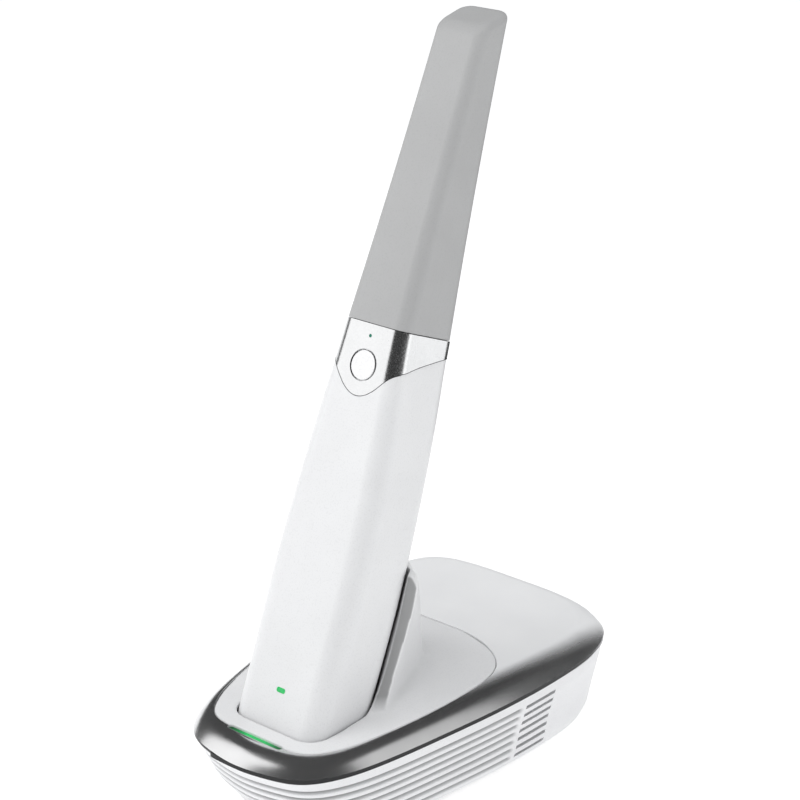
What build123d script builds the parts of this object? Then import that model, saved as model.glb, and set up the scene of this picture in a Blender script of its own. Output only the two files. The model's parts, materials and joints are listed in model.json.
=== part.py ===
from build123d import *
import math
import os

# Wireless intraoral camera (scanner handpiece) standing in its charging dock.
# Millimetres, +Z up.  Origin: centre of the dock's footprint, on the surface it stands on.
# +X is the dock's right-hand side seen from the front, +Y points to the dock's rear.
# The handpiece is drawn upright in its own frame (z along its length from the charging end,
# y from its button face to its back) and then leant back into the cradle.

# ---------------------------------------------------------------- driving dimensions
LEAN_DEG = 22.9            # handpiece leans back from the vertical
HAND_Y = -72.5             # where the charging end's front edge sits in the dock
HAND_Z = 33.6

DOCK_HALF_LENGTH = 89.0
SEAM_Z = 38.2              # lower edge of the top cover
COVER_RISE = 7.2           # how far the cover domes up above the seam
COVER_SHOULDER = 9.5       # inset over which the cover domes up
COVER_TILT_DEG = 1.0       # the cover's top falls slightly to the front
WALL = 2.2
TRIM_HEIGHT = 1.9
TRIM_INSET = 0.5
TRIM_DEPTH = 3.3
BASE_Z = 1.8               # underside of the base plate
BASE_INSET = (13.3, 26.1, 10.7)   # base plate inside the seam outline: sides, front, rear
BASE_CLEARANCE = 0.2
BOSS_LOW = 9.0             # lower end of the cover's screw bosses
BOARD_Z = 17.2             # the dock's circuit board
FOOT_RADIUS = 7.0
INLET_WIDTH = 9.0
INLET_HEIGHT = 3.3
INLET_Z = 13.0

GRIP_START = 8.2           # end cap / handle parting line
BAND_TOP = 164.0           # metal band / tip sleeve parting line
TIP_TOP = 287.0
SLEEVE_GAP = 0.25
SLEEVE_WALL = 1.6
NOSE_CLEARANCE = 0.45
NOSE_TOP = 236.0
NOSE_FIT = -(SLEEVE_WALL + NOSE_CLEARANCE)
SEAL_DEPTH = 0.9
POCKET_CLEARANCE = 0.9
POCKET_FLOOR = -0.3

BUTTON_Z = 148.8
BUTTON_RADIUS = 5.55
BUTTON_HOLE_RADIUS = 6.0
STATUS_Z = 159.7           # small lamp above the button
POWER_LIGHT_Z = 25.4
WINDOW_Z = 266.0

VENT_COUNT = 7
VENT_PITCH = 3.9
VENT_TOP_Z = 31.0
VENT_HEIGHT = 1.6
VENT_FRONT_Y = 21.5
VENT_REAR_Y = 39.0

PIN_COUNT = 5
PIN_PITCH = 5.0
PIN_Y = 17.5
PIN_TOP = -0.1             # plunger tips, just under the pads

SCREW_PLACES = [(33.0, 42.0), (-33.0, 42.0), (14.0, 64.0), (-14.0, 64.0)]
FOOT_PLACES = [(13.0, -52.0), (-13.0, -52.0), (25.0, 60.0), (-25.0, 60.0)]

# Lower casing: height, and how far it lies inside the seam outline at the sides, front and rear.
CASING_STATIONS = [
    (36.1, 0.6, 0.8, 0.8),
    (31.0, 1.3, 3.6, 0.9),
    (19.0, 4.4, 9.2, 1.3),
    (8.0, 6.2, 18.0, 3.4),
    (4.2, 7.6, 20.2, 5.0),
    (1.9, 10.6, 23.4, 8.0),
]

# Plan outline of the seam, right half, from the nose to the rear.
DOCK_HALF_OUTLINE = [
    (0.0, -89.0),
    (13.5, -87.2),
    (25.6, -82.6),
    (34.4, -71.6),
    (40.8, -53.0),
    (46.2, -26.0),
    (51.2, 5.0),
    (54.2, 42.0),
    (52.2, 68.0),
    (44.0, 82.5),
    (27.0, 88.2),
    (0.0, 89.0),
]

# Plan outline of the cradle insert, right half, from its nose to its rear.
INSERT_HALF_OUTLINE = [
    (0.0, -77.4),
    (12.0, -76.8),
    (20.9, -75.2),
    (28.3, -67.8),
    (34.9, -49.9),
    (38.9, -29.5),
    (41.6, -3.0),
    (38.6, 17.5),
    (27.8, 27.5),
    (12.0, 32.2),
    (0.0, 32.6),
]

# Handpiece sections: z, half width, front y, back y, front corner radius, back corner radius.
HANDLE_STATIONS = [
    (0.0, 17.6, 2.6, 31.4, 6.0, 7.5),
    (1.4, 19.4, 0.9, 33.4, 7.0, 8.6),
    (4.5, 20.3, 0.1, 34.4, 7.4, 9.2),
    (30.0, 20.9, 0.0, 35.2, 7.7, 9.6),
    (60.0, 21.1, 0.0, 35.6, 7.7, 9.6),
    (91.0, 20.4, 0.0, 35.6, 7.6, 9.6),
    (110.0, 19.3, 0.0, 35.5, 7.3, 9.4),
    (130.0, 17.9, 0.0, 35.0, 6.8, 9.0),
    (146.0, 16.3, 0.0, 34.5, 6.2, 8.5),
    (164.0, 14.9, 0.0, 33.9, 5.6, 8.0),
]
TIP_STATIONS = [
    (164.0, 14.7, 0.0, 33.8, 5.5, 8.0),
    (200.0, 13.2, 1.9, 30.1, 5.1, 7.1),
    (240.0, 12.1, 4.0, 25.9, 4.7, 6.1),
    (287.0, 11.3, 6.2, 21.2, 4.3, 5.0),
]

os.makedirs("parts", exist_ok=True)
HAND_PLACE = Location((0, HAND_Y, HAND_Z), (-LEAN_DEG, 0, 0))


def write(shape, name):
    """Write one node to its own file."""
    export_step(shape, f"parts/{name}.step")


def write_hand(shape, name):
    """Write one node of the handpiece, leant back into the cradle."""
    write(HAND_PLACE * shape, name)


# ---------------------------------------------------------------- outlines and lofts
def mirrored_face(half_points):
    """A face from the right half of a symmetric outline, given front to rear."""
    right = Spline(half_points, tangents=[(1, 0), (-1, 0)])
    left = Spline([(-x, y) for x, y in reversed(half_points)], tangents=[(-1, 0), (1, 0)])
    return make_face(Curve() + [right, left])


def jointed_face(half_points):
    """The same face with its edge left in eight pieces, which suits a thin ring."""
    right = Spline(half_points, tangents=[(1, 0), (-1, 0)])
    left = Spline([(-x, y) for x, y in reversed(half_points)], tangents=[(-1, 0), (1, 0)])
    return Face(Wire([half.trim(k / 4, (k + 1) / 4) for half in (right, left) for k in range(4)]))


def inset_points(half_points, side, front=None, rear=None):
    """The same half outline drawn in at its sides, front and rear, by scaling."""
    front = side if front is None else front
    rear = side if rear is None else rear
    first = half_points[0][1]
    length = half_points[-1][1] - first
    across = 1 - side / max(x for x, _ in half_points)
    along = 1 - (front + rear) / length
    return [(x * across, first + front + (y - first) * along) for x, y in half_points]


def outline_face(half_points, inset=0.0, z=0.0, tilt=0.0):
    """An inset outline on a plane at height z, tilted about X."""
    flat = mirrored_face(inset_points(half_points, inset))
    return Location((0, 0, z), (tilt, 0, 0)) * flat


def casing_face(z, side, front, rear):
    """The dock's outline drawn in by different amounts, at height z."""
    return Pos(0, 0, z) * mirrored_face(inset_points(DOCK_HALF_OUTLINE, side, front, rear))


def prism(half_points, inset, z0, z1):
    """An upright block with an inset outline."""
    return extrude(outline_face(half_points, inset, z0), z1 - z0, dir=(0, 0, 1))


def interpolated(stations, z):
    """Section values at height z, straight between the stations."""
    if z <= stations[0][0]:
        return stations[0][1:]
    for low, high in zip(stations, stations[1:]):
        if z <= high[0]:
            share = (z - low[0]) / (high[0] - low[0])
            return tuple(a + share * (b - a) for a, b in zip(low[1:], high[1:]))
    return stations[-1][1:]


def hand_section(values, z, grow=0.0):
    """Rounded handpiece section: eight edges, corner radii differing front and back."""
    half, front, back, r_front, r_back = values
    half = half + grow
    front = front - grow
    back = back + grow
    r_front = max(r_front + grow, 1.2)
    r_back = max(r_back + grow, 1.2)
    k = 1 - math.sqrt(0.5)
    a = [
        (-half + r_front, front),
        (half - r_front, front),
        (half - r_front * k, front + r_front * k),
        (half, front + r_front),
        (half, back - r_back),
        (half - r_back * k, back - r_back * k),
        (half - r_back, back),
        (-half + r_back, back),
        (-half + r_back * k, back - r_back * k),
        (-half, back - r_back),
        (-half, front + r_front),
        (-half + r_front * k, front + r_front * k),
    ]
    edges = Curve() + [
        Line(a[0], a[1]),
        ThreePointArc(a[1], a[2], a[3]),
        Line(a[3], a[4]),
        ThreePointArc(a[4], a[5], a[6]),
        Line(a[6], a[7]),
        ThreePointArc(a[7], a[8], a[9]),
        Line(a[9], a[10]),
        ThreePointArc(a[10], a[11], a[0]),
    ]
    return Location((0, 0, z)) * make_face(edges)


def hand_loft(stations, z0, z1, grow=0.0):
    """Handpiece body between two heights, grown (or shrunk) all round."""
    heights = [z0] + [s[0] for s in stations if z0 + 2 < s[0] < z1 - 2] + [z1]
    if z0 < 1.0:
        heights = [z0] + [s[0] for s in stations if z0 < s[0] < z1 - 2] + [z1]
    return loft([hand_section(interpolated(stations, z), z, grow) for z in heights])


def hand_block(x, y0, y1, z0, z1):
    """A plain block in the handpiece frame, centred on x = 0 with half width x."""
    return Pos(0, (y0 + y1) / 2, (z0 + z1) / 2) * Box(2 * x, y1 - y0, z1 - z0)


def dome_sections(extra_inset, drop):
    """Sections of the cover's dome from the seam up to its flat top."""
    sections = []
    for share in (0.0, 0.06, 0.15, 0.27, 0.42, 0.6, 0.8, 1.0, 1.5):
        inset = COVER_SHOULDER * share
        rise = COVER_RISE * (1 - (1 - min(share, 1.0)) ** 2.2)
        tilt = COVER_TILT_DEG * min(share, 1.0)
        z = SEAM_Z + rise - drop
        sections.append(outline_face(DOCK_HALF_OUTLINE, inset + extra_inset, z, tilt))
    return sections


def pocket_space(grow):
    """Room for the handpiece: its widest section carried on upwards."""
    widest = interpolated(HANDLE_STATIONS, 60.0)
    low = interpolated(HANDLE_STATIONS, 4.5)
    mid = interpolated(HANDLE_STATIONS, 30.0)
    z_low = POCKET_FLOOR - (grow - POCKET_CLEARANCE)
    faces = [
        hand_section(low, z_low, grow),
        hand_section(mid, 30.0, grow),
        hand_section(widest, 60.0, grow),
        hand_section(widest, 130.0, grow),
    ]
    return HAND_PLACE * loft(faces, ruled=True)


# ---------------------------------------------------------------- dock: outer casing
def vent_heights():
    return [VENT_TOP_Z - VENT_PITCH * index for index in range(VENT_COUNT)]


def casing_hull(stations):
    """A hull through (height, side, front, rear) stations."""
    return loft([casing_face(*station) for station in stations], ruled=True)


def make_lower_casing():
    inside = [(z, side + WALL, front + WALL, rear + WALL) for z, side, front, rear in CASING_STATIONS[:-1]]
    inside[0] = (inside[0][0] + 1.0, *inside[0][1:])
    shell = casing_hull(CASING_STATIONS) - casing_hull(inside)
    mouth = [inset - BASE_CLEARANCE for inset in BASE_INSET]
    shell -= extrude(casing_face(-1.0, *mouth), 6.0, dir=(0, 0, 1))
    middle = (VENT_REAR_Y + VENT_FRONT_Y) / 2
    for z in vent_heights():
        shell -= Pos(0, middle, z) * Box(140, VENT_REAR_Y - VENT_FRONT_Y, VENT_HEIGHT)
    inlet_hole = extrude(Plane.XZ * SlotOverall(INLET_WIDTH + 0.6, INLET_HEIGHT + 0.6), 30)
    return shell - Pos(0, 95, INLET_Z) * inlet_hole


def rear_wall_y(z):
    """Outer face of the casing at the rear, on the centre plane."""
    for high, low in zip(CASING_STATIONS, CASING_STATIONS[1:]):
        if z >= low[0]:
            share = (high[0] - z) / (high[0] - low[0])
            return DOCK_HALF_LENGTH - (high[3] + share * (low[3] - high[3]))
    return DOCK_HALF_LENGTH - CASING_STATIONS[-1][3]


def make_usb_inlet():
    """Power inlet: a drawn steel shell with its contact tongue."""
    outer = extrude(Plane.XZ * SlotOverall(INLET_WIDTH, INLET_HEIGHT), 8.0)
    inner = extrude(Plane.XZ * SlotOverall(INLET_WIDTH - 0.7, INLET_HEIGHT - 0.7), 7.0)
    shell = outer - inner
    tongue = Pos(0, -5.6, 0) * Box(6.7, 4.8, 0.7)
    y = rear_wall_y(INLET_Z) - 0.6
    return Pos(0, y, INLET_Z) * (shell + tongue)


def make_seam_trim():
    """Ring in the shadow line between the casing and the cover."""
    low = SEAM_Z - 0.1 - TRIM_HEIGHT
    outer = Pos(0, 0, low) * jointed_face(inset_points(DOCK_HALF_OUTLINE, TRIM_INSET))
    inner = Pos(0, 0, low - 1) * jointed_face(inset_points(DOCK_HALF_OUTLINE, TRIM_INSET + TRIM_DEPTH))
    return extrude(outer, TRIM_HEIGHT, dir=(0, 0, 1)) - extrude(inner, TRIM_HEIGHT + 2, dir=(0, 0, 1))


def make_top_cover():
    dome = loft(dome_sections(0.0, 0.0), ruled=True)
    hollow = loft(dome_sections(WALL, WALL), ruled=True)
    skirt = prism(DOCK_HALF_OUTLINE, WALL, SEAM_Z - 4, SEAM_Z - 0.0)
    cover = dome - hollow - skirt
    cover -= prism(INSERT_HALF_OUTLINE, 0.0, 30, 60)
    cover -= light_bar_block(0.15)
    for x, y in SCREW_PLACES:
        post = Pos(x, y, (BOSS_LOW + 44.5) / 2) * Cylinder(3.4, 44.5 - BOSS_LOW)
        post -= Pos(x, y, BOSS_LOW + 5) * Cylinder(1.3, 12)
        cover += post & dome_limit()
    return cover


def dome_limit():
    """Everything below the outer face of the cover, down to the base."""
    return loft(dome_sections(1.0, 1.0), ruled=True) + prism(DOCK_HALF_OUTLINE, 12, 0, SEAM_Z)


def light_bar_block(grow):
    """The curved light strip let into the edge between rim and insert."""
    half = 13.0 + grow
    high = 1.15 + grow
    bar = Pos(0, -77.0, 42.6) * Box(2 * half, 2 * high, 3.2)
    return fillet(bar.edges().filter_by(Axis.Z), high * 0.98)


# ---------------------------------------------------------------- dock: cradle
def insert_plate():
    plate = prism(INSERT_HALF_OUTLINE, 0.15, 41.4, 52.0)
    top = Location((0, 0, SEAM_Z + COVER_RISE + 20.0), (COVER_TILT_DEG, 0, 0)) * Box(200, 260, 40)
    bottom = Location((0, 0, SEAM_Z + COVER_RISE - 22.8), (COVER_TILT_DEG, 0, 0)) * Box(200, 260, 40)
    return plate - top - bottom


# Hood behind the handpiece: z, edge half width, edge y, ridge half width, ridge y.
HOOD_STATIONS = [
    (43.0, 28.8, -38.5, 13.0, 8.6),
    (48.0, 26.2, -33.0, 11.0, 7.8),
    (56.0, 25.0, -27.6, 10.2, 7.4),
    (68.0, 25.6, -22.4, 10.2, 7.0),
    (80.0, 26.4, -17.4, 10.2, 5.2),
    (88.0, 25.8, -14.0, 9.6, 0.6),
    (92.0, 23.2, -12.4, 8.8, -3.6),
    (94.8, 19.0, -11.2, 8.0, -7.0),
]
HOOD_EDGE_X = 21.8         # outside this the hood's front edge slants back
HOOD_EDGE_SLANT = 0.75


def hood_section(z, edge_x, edge_y, ridge_x, ridge_y):
    front_y = edge_y - 22
    points = [
        (-edge_x, front_y),
        (edge_x, front_y),
        (edge_x, edge_y),
        (ridge_x, ridge_y),
    ]
    nose = ThreePointArc(points[3], (0, ridge_y + 1.6), (-ridge_x, ridge_y))
    edges = Curve() + [
        Line(points[0], points[1]),
        Line(points[1], points[2]),
        Line(points[2], points[3]),
        nose,
        Line((-ridge_x, ridge_y), (-edge_x, edge_y)),
        Line((-edge_x, edge_y), points[0]),
    ]
    return Location((0, 0, z)) * make_face(edges)


def hood_front_cut():
    """Takes away the hood in front of its edge; the curve flares into the plate."""
    curve = Spline([(31.5, 120.0), (31.2, 50.0), (29.4, 34.0), (24.0, 22.0), (8.0, 12.5), (-20.0, 2.0)])
    profile = make_face(Curve() + [
        curve,
        Line((-20.0, 2.0), (-60.0, 2.0)),
        Line((-60.0, 2.0), (-60.0, 120.0)),
        Line((-60.0, 120.0), (31.5, 120.0)),
    ])
    face = Plane.YZ * profile
    slants = [
        extrude(Pos(side * HOOD_EDGE_X, 0, 0) * face, 12, dir=(side, HOOD_EDGE_SLANT, 0))
        for side in (-1, 1)
    ]
    return [HAND_PLACE * cut for cut in [extrude(face, 60, both=True)] + slants]


def make_cradle_insert():
    hood = loft([hood_section(*station) for station in HOOD_STATIONS], ruled=True)
    for cut in hood_front_cut():
        hood -= cut
    body = insert_plate() + hood
    body -= pocket_space(POCKET_CLEARANCE)
    body -= light_bar_block(0.15)
    return body


def make_cradle_cup():
    """Cup under the insert that the charging end stands in."""
    cup = pocket_space(POCKET_CLEARANCE + 1.8)
    limit = Location((0, 0, SEAM_Z + COVER_RISE - 2.9 + 20.0), (COVER_TILT_DEG, 0, 0)) * Box(200, 260, 40)
    above = Pos(0, 0, 42.0 + 60) * Box(200, 260, 120)
    cup = cup - limit - above
    cup -= pocket_space(POCKET_CLEARANCE)
    cup -= pin_bores()
    return cup


def pin_places():
    start = -PIN_PITCH * (PIN_COUNT - 1) / 2
    return [start + PIN_PITCH * index for index in range(PIN_COUNT)]


def pin_bores():
    bores = [Pos(x, PIN_Y, -1.5) * Cylinder(1.35, 6) for x in pin_places()]
    return HAND_PLACE * (Part() + bores)


def make_pogo_pins():
    """Spring contact plungers, tips just under the handpiece's pads."""
    pins = []
    for x in pin_places():
        tip = Pos(x, PIN_Y, PIN_TOP - 2.4) * Cylinder(0.75, 4.8)
        collar = Pos(x, PIN_Y, PIN_TOP - 5.2) * Cylinder(1.05, 0.8)
        pins.append(tip + collar)
    return HAND_PLACE * Compound(children=pins)


def make_pogo_block():
    """Moulded block under the cup: one sleeve bore per plunger."""
    block = hand_block(14.5, PIN_Y - 4.0, PIN_Y + 4.0, -9.6, -2.3)
    for x in pin_places():
        block -= Pos(x, PIN_Y, -4.6) * Cylinder(1.15, 5.4)
    return HAND_PLACE * block


def make_light_bar():
    bar = light_bar_block(0.0)
    return bar & (Pos(0, -77, 41.6) * Box(60, 20, 3.0))


def make_light_board():
    board = Pos(0, -79.0, 37.6) * Box(28, 6.2, 1.2)
    for index in range(5):
        x = -11 + 5.5 * index
        board += Pos(x, -77.0, 38.6) * Box(1.6, 1.4, 0.8)
    return board


# ---------------------------------------------------------------- dock: base and inside
def make_base_plate():
    plate = extrude(casing_face(BASE_Z, *BASE_INSET), 2.0, dir=(0, 0, 1))
    for x, y in FOOT_PLACES:
        plate -= Pos(x, y, BASE_Z) * Cylinder(FOOT_RADIUS + 0.15, 1.6)
    for x, y in SCREW_PLACES:
        plate -= Pos(x, y, BASE_Z + 1) * Cylinder(1.7, 6)
        plate -= Pos(x, y, BASE_Z + 0.4) * Cylinder(3.1, 1.6)
        plate += tube(x, y, BASE_Z + 2.0, BOSS_LOW - 0.1, 3.2, 1.75)
    return plate


def tube(x, y, z0, z1, outer, inner):
    wall = Cylinder(outer, z1 - z0) - Cylinder(inner, z1 - z0 + 1)
    return Pos(x, y, (z0 + z1) / 2) * wall


def make_feet():
    feet = []
    for x, y in FOOT_PLACES:
        foot = Pos(x, y, 1.3) * Cylinder(FOOT_RADIUS, 2.6)
        rim = foot.edges().filter_by(GeomType.CIRCLE).sort_by(Axis.Z)[0]
        feet.append(fillet(rim, 0.7))
    return Compound(children=feet)


def make_base_screws():
    screws = []
    for x, y in SCREW_PLACES:
        head = Pos(x, y, BASE_Z + 0.55) * Cylinder(2.8, 1.0)
        head -= Pos(x, y, BASE_Z) * Box(3.2, 0.7, 1.0)
        shank = Pos(x, y, (BASE_Z + 1.05 + 14.0) / 2) * Cylinder(1.25, 14.0 - BASE_Z - 1.05)
        screws.append(head + shank)
    return Compound(children=screws)


def make_base_weight():
    plate = Pos(0, -4.0, 6.4) * Box(44, 62, 4.8)
    return fillet(plate.edges().filter_by(Axis.Z), 5)


def make_dock_board():
    board = Pos(0, 35.0, BOARD_Z) * Box(48, 42, 1.6)
    board += Pos(0, 64.0, BOARD_Z) * Box(16, 18, 1.6)
    for x in (-20, 20):
        board -= Pos(x, 30, BOARD_Z) * Cylinder(1.6, 4)
    chips = [(-12, 28, 9, 9), (10, 24, 6, 8), (-6, 46, 7, 5)]
    for x, y, a, b in chips:
        board += Pos(x, y, BOARD_Z + 1.4) * Box(a, b, 1.2)
    return board


def make_board_posts():
    """Two posts with their screws, holding the board over the base."""
    posts = []
    for x in (-20, 20):
        post = Pos(x, 30, (BASE_Z + 2.05 + BOARD_Z - 0.85) / 2) * Cylinder(2.6, BOARD_Z - BASE_Z - 2.9)
        shank = Pos(x, 30, BOARD_Z + 0.3) * Cylinder(1.5, 2.2)
        head = Pos(x, 30, BOARD_Z + 1.5) * Cylinder(2.6, 1.2)
        posts.append(post + shank + head)
    return Compound(children=posts)


def make_radio_can():
    can = Pos(13, 44, BOARD_Z + 2.1) * Box(16, 20, 2.4)
    return fillet(can.edges().filter_by(Axis.Z), 1.0)


def make_heat_sink():
    """Finned block over the charging chip."""
    base = Pos(-10, 28, BOARD_Z + 3.0) * Box(14, 14, 1.6)
    for index in range(5):
        base += Pos(-10 + 3.1 * (index - 2), 28, BOARD_Z + 6.2) * Box(1.0, 14, 5.0)
    return base


def make_dock_antennas():
    """Two printed radio antennas standing behind the rear corners."""
    strips = []
    for side in (-1, 1):
        strips.append(Pos(side * 30, 71.5, 26) * Box(18, 0.6, 9))
    return Compound(children=strips)


# ---------------------------------------------------------------- handpiece: casings
def make_end_cap():
    cap = hand_loft(HANDLE_STATIONS, 0.0, GRIP_START - 0.1)
    cap -= hand_block(15.5, 11.0, 25.0, 2.6, 20.0)
    for x in pin_places():
        cap -= Pos(x, PIN_Y, 1.5) * Cylinder(1.6, 4)
    for x in (-12.6, 12.6):
        cap -= Pos(x, 29.2, 4) * Cylinder(1.3, 12)
        cap -= Pos(x, 29.2, 0.4) * Cylinder(2.4, 4.0)
    return cap


def make_charge_contacts():
    """Gold-plated pads flush with the end cap's underside, with their carrier."""
    carrier = hand_block(14.6, 12.0, 24.0, 2.7, 3.6)
    for x in pin_places():
        carrier += Pos(x, PIN_Y, 1.4) * Cylinder(1.45, 2.8)
    return carrier


def make_cap_screws():
    screws = []
    for x in (-12.6, 12.6):
        head = Pos(x, 29.2, 1.7) * Cylinder(2.2, 1.3)
        head -= Pos(x, 29.2, 1.0) * Cylinder(0.9, 1.2)
        shank = Pos(x, 29.2, 6.6) * Cylinder(1.2, 8.6)
        screws.append(head + shank)
    return Compound(children=screws)


# Lower edge of the metal band: heights on the front face by x, then round the side by y.
BAND_FRONT = [(0.0, 137.3), (4.5, 138.6), (8.4, 141.8), (12.6, 146.4), (18.0, 150.6)]
BAND_SIDE = [(-3.0, 147.2), (2.6, 148.8), (11.4, 152.2), (19.8, 154.9), (27.8, 157.2), (40.0, 158.2)]
BAND_FACE_DEPTH = 3.2


def band_zone(shift):
    """All space above the band's lower edge, moved down by shift."""
    right = [(x, z - shift) for x, z in BAND_FRONT]
    left = [(-x, z) for x, z in reversed(right)]
    curve = Spline(left + right[1:])
    front = make_face(Curve() + [
        curve,
        Line(right[-1], (40, 200)),
        Line((40, 200), (-40, 200)),
        Line((-40, 200), left[0]),
    ])
    front_zone = extrude(Plane.XZ * front, 10)
    front_zone = Pos(0, BAND_FACE_DEPTH, 0) * front_zone
    side_points = [(y, z - shift) for y, z in BAND_SIDE]
    side = make_face(Curve() + [
        Spline(side_points),
        Line(side_points[-1], (40, 200)),
        Line((40, 200), (-3, 200)),
        Line((-3, 200), side_points[0]),
    ])
    side_zone = extrude(Plane.YZ * side, 40, both=True)
    return front_zone + side_zone


def handle_tube(z0, z1, wall):
    outer = hand_loft(HANDLE_STATIONS, z0, z1)
    inner = hand_loft(HANDLE_STATIONS, z0 - 1, z1 + 1, -wall)
    return outer - inner


def make_handle_shell():
    shell = handle_tube(GRIP_START, BAND_TOP, 2.0)
    shell -= band_zone(0.12)
    lens = extrude(Plane.XZ * RectangleRounded(4.1, 2.0, 0.8), 20, both=True)
    shell -= Pos(0, 0, POWER_LIGHT_Z) * (lens & Box(10, 12, 10))
    for x in (-12.6, 12.6):
        boss = Pos(x, 29.2, 12.0) * Cylinder(3.2, 7.4)
        boss -= Pos(x, 29.2, 12.0) * Cylinder(1.3, 9)
        limit = hand_loft(HANDLE_STATIONS, GRIP_START, 20.0, -1.0)
        shell += boss & limit
    return shell


def make_power_light():
    lens = extrude(Plane.XZ * RectangleRounded(3.9, 1.8, 0.7), -2.4)
    return Pos(0, 0.0, POWER_LIGHT_Z) * lens


def make_metal_band():
    band = handle_tube(130.0, BAND_TOP, 2.0) & band_zone(0.0)
    bore = extrude(Plane.XZ * Circle(BUTTON_HOLE_RADIUS), 10, both=True)
    band -= Pos(0, 0, BUTTON_Z) * (bore & Box(20, 9, 20))
    dot = extrude(Plane.XZ * Circle(0.65), 10, both=True)
    band -= Pos(0, 0, STATUS_Z) * (dot & Box(20, 9, 20))
    return band


def along_y(radius, y0, y1):
    """A cylinder along the handpiece's y axis."""
    return Pos(0, (y0 + y1) / 2, 0) * (Rot(90, 0, 0) * Cylinder(radius, y1 - y0))


def make_scan_button():
    """Push button: face flush with the band, flange behind it, stem to the switch."""
    cap = along_y(BUTTON_RADIUS, 0.0, 2.2)
    cap = fillet(cap.edges().filter_by(GeomType.CIRCLE).sort_by(Axis.Y)[0], 0.3)
    cap += along_y(6.6, 2.15, 2.65)
    cap += along_y(1.6, 2.6, 3.0)
    return Pos(0, 0, BUTTON_Z) * cap


def make_status_light():
    return Pos(0, 0, STATUS_Z) * along_y(0.55, 0.0, 4.9)


def make_button_board():
    """Switch board behind the fascia."""
    board = hand_block(9.0, 5.7, 6.7, 141.0, 160.6)
    switch = Pos(0, 0, BUTTON_Z) * along_y(2.0, 3.75, 4.4)
    body = hand_block(3.0, 4.4, 5.7, BUTTON_Z - 3, BUTTON_Z + 3)
    lamp = hand_block(0.9, 5.0, 5.7, STATUS_Z - 0.8, STATUS_Z + 0.8)
    return board + switch + body + lamp


# ---------------------------------------------------------------- handpiece: tip
def tip_chamfer(shift):
    """Everything beyond the slanted end face of the tip."""
    low = (-10.0, 276.4 - 11.3 * 1.0 - shift)
    high = (40.0, 276.4 + 24.0 - shift)
    face = make_face(Polyline([low, high, (40, 330), (-10, 330), low]))
    return extrude(Plane.YZ * face, 40, both=True)


def make_tip_sleeve():
    z0 = BAND_TOP + SLEEVE_GAP
    body = loft([hand_section(s[1:], s[0]) for s in tip_stations(z0, TIP_TOP)])
    body -= tip_chamfer(0.0)
    inner = loft([hand_section(s[1:], s[0], -SLEEVE_WALL) for s in tip_stations(z0 - 1, TIP_TOP)])
    inner -= tip_chamfer(SLEEVE_WALL * 1.2)
    body -= inner
    window = extrude(Plane.XZ * RectangleRounded(17.0, 17.5, 4.0), 20)
    body -= Pos(0, 40.0, WINDOW_Z) * window
    return body


def tip_stations(z0, z1):
    inside = [s for s in TIP_STATIONS if z0 + 3 < s[0] < z1 - 3]
    first = (z0, *interpolated(TIP_STATIONS, z0))
    last = (z1, *interpolated(TIP_STATIONS, z1))
    return [first] + inside + [last]


def make_tip_mirror():
    """First-surface mirror at 45 degrees, facing the window."""
    plate = Box(16.0, 13.6, 1.2)
    return Pos(0, 14.5, 268.6) * (Rot(45, 0, 0) * plate)


# ---------------------------------------------------------------- handpiece: optics
def nose_loft(z0, z1, grow):
    stations = tip_stations(z0, z1)
    return loft([hand_section(s[1:], s[0], grow) for s in stations], ruled=True)


def make_nose_tube():
    """Snout that carries the optics; the sleeve slides over it."""
    body = nose_loft(157.0, NOSE_TOP, NOSE_FIT)
    body += hand_loft(HANDLE_STATIONS, 157.0, 159.0, -2.8)
    body -= nose_loft(150.0, NOSE_TOP - 3.0, NOSE_FIT - 1.5)
    body -= nose_loft(NOSE_TOP - 8.0, NOSE_TOP + 2.0, NOSE_FIT - 2.6)
    body -= nose_loft(NOSE_TOP - 1.5, NOSE_TOP + 2.0, NOSE_FIT - 1.0)
    groove = nose_loft(161.0, 163.0, NOSE_FIT + 2.0)
    groove -= nose_loft(160.0, 163.9, NOSE_FIT - SEAL_DEPTH)
    body -= groove
    return body - hand_block(9.6, -1.0, 6.9, 150.0, 160.6)


def make_nose_window():
    return nose_loft(NOSE_TOP - 1.4, NOSE_TOP - 0.2, NOSE_FIT - 1.1)


def make_seal_ring():
    """Soft ring in a groove round the snout's root, hidden by the band."""
    outer = nose_loft(161.1, 162.9, NOSE_FIT - 0.02)
    return outer - nose_loft(160.0, 163.9, NOSE_FIT - SEAL_DEPTH + 0.03)


def make_optics_block():
    """Machined carrier for the camera and projector barrels."""
    block = hand_block(7.8, 8.6, 23.6, 168.0, 214.0)
    block -= Pos(0, 12.6, 191) * Cylinder(3.6, 60)
    block -= Pos(0, 20.2, 191) * Cylinder(2.6, 60)
    return block


def make_barrel(y, outer, inner, z0, z1):
    return Pos(0, y, (z0 + z1) / 2) * (Cylinder(outer, z1 - z0) - Cylinder(inner, z1 - z0 + 1))


def make_lens(y, radius, z):
    """A biconvex lens: two shallow caps on a short rim."""
    rim = Pos(0, y, z) * Cylinder(radius, 1.0)
    ball = 2.4 * radius
    depth = ball - math.sqrt(ball**2 - radius**2)
    cap = Pos(0, y, z + 0.5 + depth - ball) * Sphere(ball)
    cap &= Pos(0, y, z + 0.5 + depth / 2) * Cylinder(radius, depth)
    return rim + cap


def make_light_engine():
    block = hand_block(8.0, 8.2, 23.0, 138.0, 154.0)
    return block + Pos(0, 12.6, 155.5) * Cylinder(4.4, 3.2)


def make_sensor_board():
    board = hand_block(8.5, 8.0, 24.6, 164.4, 166.0)
    board -= Pos(0, 12.6, 165) * Cylinder(3.0, 6)
    return board + hand_block(2.6, 17.6, 22.8, 166.0, 167.2)


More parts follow.
